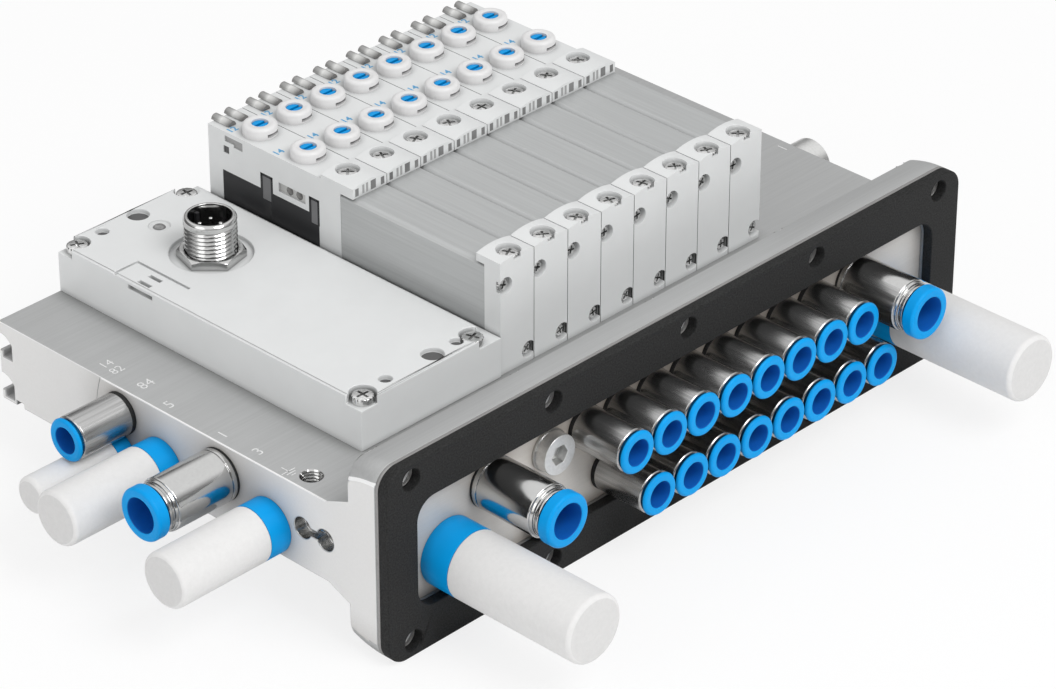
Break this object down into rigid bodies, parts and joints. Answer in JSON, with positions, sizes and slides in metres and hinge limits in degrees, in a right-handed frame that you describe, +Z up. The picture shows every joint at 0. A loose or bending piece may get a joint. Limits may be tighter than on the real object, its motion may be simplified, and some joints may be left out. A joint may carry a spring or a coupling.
{
  "type": "pneumatic valve island",
  "caption": "Pneumatic valve island: solenoid valves and an electrical interface on a flanged manifold rail with push-in tube fittings and silencers.",
  "frame": {"origin": "centre of the flange's bolt rectangle in the front plane of the gasket", "axes": "+X along the row of valves, -Y out of the gasket towards the tube fittings, +Z up"},
  "size_m": [0.2207, 0.1617, 0.0638],
  "materials": {
    "anodised_rail": "brushed extrusion, clear anodised",
    "black_rubber": "fine-grained black rubber",
    "steel_sheet": "bright sheet",
    "light_plastic": "fine moulded light grey",
    "white_plastic": "smooth moulded white",
    "board_green": "printed circuit board",
    "nickel_screw": "bright zinc or nickel plated",
    "nickel_brass": "nickel-plated brass",
    "black_plastic": "moulded black",
    "lamp_lens": "clear unlit lens",
    "grey_aluminium": "matt grey aluminium",
    "guide_grey": "smoky light guide",
    "clip_grey": "dark grey clip",
    "blue_plastic": "bright blue moulded",
    "porous_white": "sintered porous white",
    "plug_metal": "turned matt metal"
  },
  "bodies": {
    "root": {"manifold_rail": "anodised_rail", "flange_gasket": "black_rubber", "gasket_carrier": "steel_sheet", "interface_housing": "light_plastic", "control_board": "board_green", "interface_screws": "nickel_screw", "connector_shell": "nickel_brass", "connector_insert": "black_plastic", "connector_nut": "nickel_brass", "status_led": "lamp_lens", "valve_bodies": "grey_aluminium", "end_covers": "light_plastic", "pilot_housings": "light_plastic", "override_caps": "white_plastic", "solenoid_blocks": "black_plastic", "light_guides": "guide_grey", "coil_clips": "clip_grey", "valve_screws": "nickel_screw", "valve_seals": "black_rubber", "fitting_bodies": "nickel_brass", "fitting_seals": "black_rubber", "silencer_collars": "blue_plastic", "silencer_bodies": "porous_white", "port_plugs": "plug_metal"},
    "override_rear_1": {"override_rear_1": "blue_plastic"},
    "override_rear_2": {"override_rear_2": "blue_plastic"},
    "override_rear_3": {"override_rear_3": "blue_plastic"},
    "override_rear_4": {"override_rear_4": "blue_plastic"},
    "override_rear_5": {"override_rear_5": "blue_plastic"},
    "override_rear_6": {"override_rear_6": "blue_plastic"},
    "override_rear_7": {"override_rear_7": "blue_plastic"},
    "override_rear_8": {"override_rear_8": "blue_plastic"},
    "override_front_1": {"override_front_1": "blue_plastic"},
    "override_front_2": {"override_front_2": "blue_plastic"},
    "override_front_3": {"override_front_3": "blue_plastic"},
    "override_front_4": {"override_front_4": "blue_plastic"},
    "override_front_5": {"override_front_5": "blue_plastic"},
    "override_front_6": {"override_front_6": "blue_plastic"},
    "override_front_7": {"override_front_7": "blue_plastic"},
    "override_front_8": {"override_front_8": "blue_plastic"},
    "ring_upper_1": {"ring_upper_1": "blue_plastic"},
    "ring_upper_2": {"ring_upper_2": "blue_plastic"},
    "ring_upper_3": {"ring_upper_3": "blue_plastic"},
    "ring_upper_4": {"ring_upper_4": "blue_plastic"},
    "ring_upper_5": {"ring_upper_5": "blue_plastic"},
    "ring_upper_6": {"ring_upper_6": "blue_plastic"},
    "ring_upper_7": {"ring_upper_7": "blue_plastic"},
    "ring_upper_8": {"ring_upper_8": "blue_plastic"},
    "ring_lower_1": {"ring_lower_1": "blue_plastic"},
    "ring_lower_2": {"ring_lower_2": "blue_plastic"},
    "ring_lower_3": {"ring_lower_3": "blue_plastic"},
    "ring_lower_4": {"ring_lower_4": "blue_plastic"},
    "ring_lower_5": {"ring_lower_5": "blue_plastic"},
    "ring_lower_6": {"ring_lower_6": "blue_plastic"},
    "ring_lower_7": {"ring_lower_7": "blue_plastic"},
    "ring_lower_8": {"ring_lower_8": "blue_plastic"},
    "ring_end_small": {"ring_end_small": "blue_plastic"},
    "ring_front_left": {"ring_front_left": "blue_plastic"},
    "ring_front_right": {"ring_front_right": "blue_plastic"},
    "ring_end_large": {"ring_end_large": "blue_plastic"}
  },
  "joints": [
    {"name": "override_rear_1_press", "type": "slide", "parent": "root", "child": "override_rear_1", "axis": [0, 0, -1], "range_m": [0, 0.001], "stiffness_N_per_m": 400},
    {"name": "override_rear_2_press", "type": "slide", "parent": "root", "child": "override_rear_2", "axis": [0, 0, -1], "range_m": [0, 0.001], "stiffness_N_per_m": 400},
    {"name": "override_rear_3_press", "type": "slide", "parent": "root", "child": "override_rear_3", "axis": [0, 0, -1], "range_m": [0, 0.001], "stiffness_N_per_m": 400},
    {"name": "override_rear_4_press", "type": "slide", "parent": "root", "child": "override_rear_4", "axis": [0, 0, -1], "range_m": [0, 0.001], "stiffness_N_per_m": 400},
    {"name": "override_rear_5_press", "type": "slide", "parent": "root", "child": "override_rear_5", "axis": [0, 0, -1], "range_m": [0, 0.001], "stiffness_N_per_m": 400},
    {"name": "override_rear_6_press", "type": "slide", "parent": "root", "child": "override_rear_6", "axis": [0, 0, -1], "range_m": [0, 0.001], "stiffness_N_per_m": 400},
    {"name": "override_rear_7_press", "type": "slide", "parent": "root", "child": "override_rear_7", "axis": [0, 0, -1], "range_m": [0, 0.001], "stiffness_N_per_m": 400},
    {"name": "override_rear_8_press", "type": "slide", "parent": "root", "child": "override_rear_8", "axis": [0, 0, -1], "range_m": [0, 0.001], "stiffness_N_per_m": 400},
    {"name": "override_front_1_press", "type": "slide", "parent": "root", "child": "override_front_1", "axis": [0, 0, -1], "range_m": [0, 0.001], "stiffness_N_per_m": 400},
    {"name": "override_front_2_press", "type": "slide", "parent": "root", "child": "override_front_2", "axis": [0, 0, -1], "range_m": [0, 0.001], "stiffness_N_per_m": 400},
    {"name": "override_front_3_press", "type": "slide", "parent": "root", "child": "override_front_3", "axis": [0, 0, -1], "range_m": [0, 0.001], "stiffness_N_per_m": 400},
    {"name": "override_front_4_press", "type": "slide", "parent": "root", "child": "override_front_4", "axis": [0, 0, -1], "range_m": [0, 0.001], "stiffness_N_per_m": 400},
    {"name": "override_front_5_press", "type": "slide", "parent": "root", "child": "override_front_5", "axis": [0, 0, -1], "range_m": [0, 0.001], "stiffness_N_per_m": 400},
    {"name": "override_front_6_press", "type": "slide", "parent": "root", "child": "override_front_6", "axis": [0, 0, -1], "range_m": [0, 0.001], "stiffness_N_per_m": 400},
    {"name": "override_front_7_press", "type": "slide", "parent": "root", "child": "override_front_7", "axis": [0, 0, -1], "range_m": [0, 0.001], "stiffness_N_per_m": 400},
    {"name": "override_front_8_press", "type": "slide", "parent": "root", "child": "override_front_8", "axis": [0, 0, -1], "range_m": [0, 0.001], "stiffness_N_per_m": 400},
    {"name": "ring_upper_1_press", "type": "slide", "parent": "root", "child": "ring_upper_1", "axis": [0, 1, 0], "range_m": [0, 0.0005], "stiffness_N_per_m": 600},
    {"name": "ring_upper_2_press", "type": "slide", "parent": "root", "child": "ring_upper_2", "axis": [0, 1, 0], "range_m": [0, 0.0005], "stiffness_N_per_m": 600},
    {"name": "ring_upper_3_press", "type": "slide", "parent": "root", "child": "ring_upper_3", "axis": [0, 1, 0], "range_m": [0, 0.0005], "stiffness_N_per_m": 600},
    {"name": "ring_upper_4_press", "type": "slide", "parent": "root", "child": "ring_upper_4", "axis": [0, 1, 0], "range_m": [0, 0.0005], "stiffness_N_per_m": 600},
    {"name": "ring_upper_5_press", "type": "slide", "parent": "root", "child": "ring_upper_5", "axis": [0, 1, 0], "range_m": [0, 0.0005], "stiffness_N_per_m": 600},
    {"name": "ring_upper_6_press", "type": "slide", "parent": "root", "child": "ring_upper_6", "axis": [0, 1, 0], "range_m": [0, 0.0005], "stiffness_N_per_m": 600},
    {"name": "ring_upper_7_press", "type": "slide", "parent": "root", "child": "ring_upper_7", "axis": [0, 1, 0], "range_m": [0, 0.0005], "stiffness_N_per_m": 600},
    {"name": "ring_upper_8_press", "type": "slide", "parent": "root", "child": "ring_upper_8", "axis": [0, 1, 0], "range_m": [0, 0.0005], "stiffness_N_per_m": 600},
    {"name": "ring_lower_1_press", "type": "slide", "parent": "root", "child": "ring_lower_1", "axis": [0, 1, 0], "range_m": [0, 0.0005], "stiffness_N_per_m": 600},
    {"name": "ring_lower_2_press", "type": "slide", "parent": "root", "child": "ring_lower_2", "axis": [0, 1, 0], "range_m": [0, 0.0005], "stiffness_N_per_m": 600},
    {"name": "ring_lower_3_press", "type": "slide", "parent": "root", "child": "ring_lower_3", "axis": [0, 1, 0], "range_m": [0, 0.0005], "stiffness_N_per_m": 600},
    {"name": "ring_lower_4_press", "type": "slide", "parent": "root", "child": "ring_lower_4", "axis": [0, 1, 0], "range_m": [0, 0.0005], "stiffness_N_per_m": 600},
    {"name": "ring_lower_5_press", "type": "slide", "parent": "root", "child": "ring_lower_5", "axis": [0, 1, 0], "range_m": [0, 0.0005], "stiffness_N_per_m": 600},
    {"name": "ring_lower_6_press", "type": "slide", "parent": "root", "child": "ring_lower_6", "axis": [0, 1, 0], "range_m": [0, 0.0005], "stiffness_N_per_m": 600},
    {"name": "ring_lower_7_press", "type": "slide", "parent": "root", "child": "ring_lower_7", "axis": [0, 1, 0], "range_m": [0, 0.0005], "stiffness_N_per_m": 600},
    {"name": "ring_lower_8_press", "type": "slide", "parent": "root", "child": "ring_lower_8", "axis": [0, 1, 0], "range_m": [0, 0.0005], "stiffness_N_per_m": 600},
    {"name": "ring_end_small_press", "type": "slide", "parent": "root", "child": "ring_end_small", "axis": [1, 0, 0], "range_m": [0, 0.0005], "stiffness_N_per_m": 600},
    {"name": "ring_front_left_press", "type": "slide", "parent": "root", "child": "ring_front_left", "axis": [0, 1, 0], "range_m": [0, 0.0005], "stiffness_N_per_m": 600},
    {"name": "ring_front_right_press", "type": "slide", "parent": "root", "child": "ring_front_right", "axis": [0, 1, 0], "range_m": [0, 0.0005], "stiffness_N_per_m": 600},
    {"name": "ring_end_large_press", "type": "slide", "parent": "root", "child": "ring_end_large", "axis": [1, 0, 0], "range_m": [0, 0.0005], "stiffness_N_per_m": 600}
  ]
}
